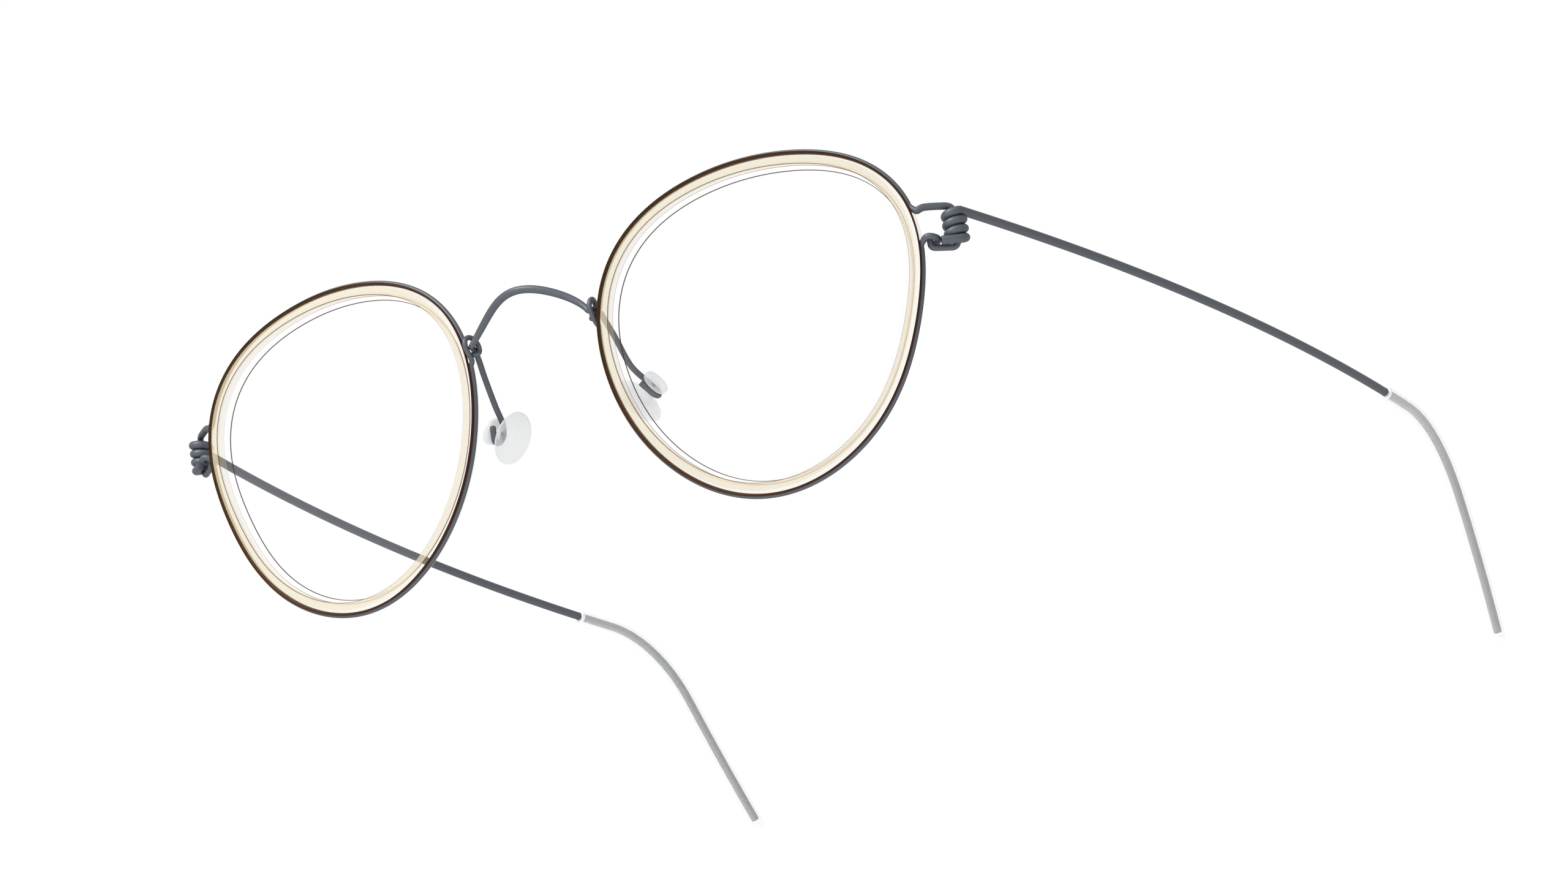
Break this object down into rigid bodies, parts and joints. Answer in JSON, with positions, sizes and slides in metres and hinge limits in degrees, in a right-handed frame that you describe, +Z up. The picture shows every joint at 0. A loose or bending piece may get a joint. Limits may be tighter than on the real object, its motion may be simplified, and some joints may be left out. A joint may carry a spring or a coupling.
{
  "type": "eyeglasses",
  "caption": "Round wire eyeglasses with translucent honey-coloured inner rings, clear lenses, coil hinges, clip-on nose pads and clear tip sleeves.",
  "frame": {"origin": "middle of the box round the open glasses, at the level they stand on", "axes": "+X towards the wearer's left, +Y back along the temples, +Z up; the glasses stand on the rims and the rounded temple tips"},
  "size_m": [0.1404, 0.152, 0.0447],
  "materials": {
    "wire": "satin dark slate-grey coated titanium wire",
    "inner_ring": "polished translucent honey acetate",
    "lens": "clear polished",
    "silicone": "clear smooth silicone"
  },
  "bodies": {
    "front": {"bridge_wire": "wire", "left_rim_wire": "wire", "right_rim_wire": "wire", "left_inner_ring": "inner_ring", "right_inner_ring": "inner_ring", "left_lens": "lens", "right_lens": "lens"},
    "left_temple": {"left_temple_wire": "wire", "left_tip_sleeve": "silicone"},
    "right_temple": {"right_temple_wire": "wire", "right_tip_sleeve": "silicone"},
    "left_pad": {"left_nose_pad": "silicone"},
    "right_pad": {"right_nose_pad": "silicone"}
  },
  "joints": [
    {"name": "left_temple_fold", "type": "hinge", "parent": "front", "child": "left_temple", "pos_m": [0.06073, -0.0649, 0.03018], "axis": [0, -0.093, 0.9957], "range_deg": [0, 90]},
    {"name": "right_temple_fold", "type": "hinge", "parent": "front", "child": "right_temple", "pos_m": [-0.06073, -0.0649, 0.03018], "axis": [0, 0.093, -0.9957], "range_deg": [0, 85]},
    {"name": "left_pad_rock", "type": "hinge", "parent": "front", "child": "left_pad", "pos_m": [0.01224, -0.06385, 0.02061], "axis": [0.4016, 0.6529, -0.6423], "range_deg": [-4, 4]},
    {"name": "right_pad_rock", "type": "hinge", "parent": "front", "child": "right_pad", "pos_m": [-0.01224, -0.06385, 0.02061], "axis": [0.4016, -0.6529, 0.6423], "range_deg": [-4, 4]}
  ]
}
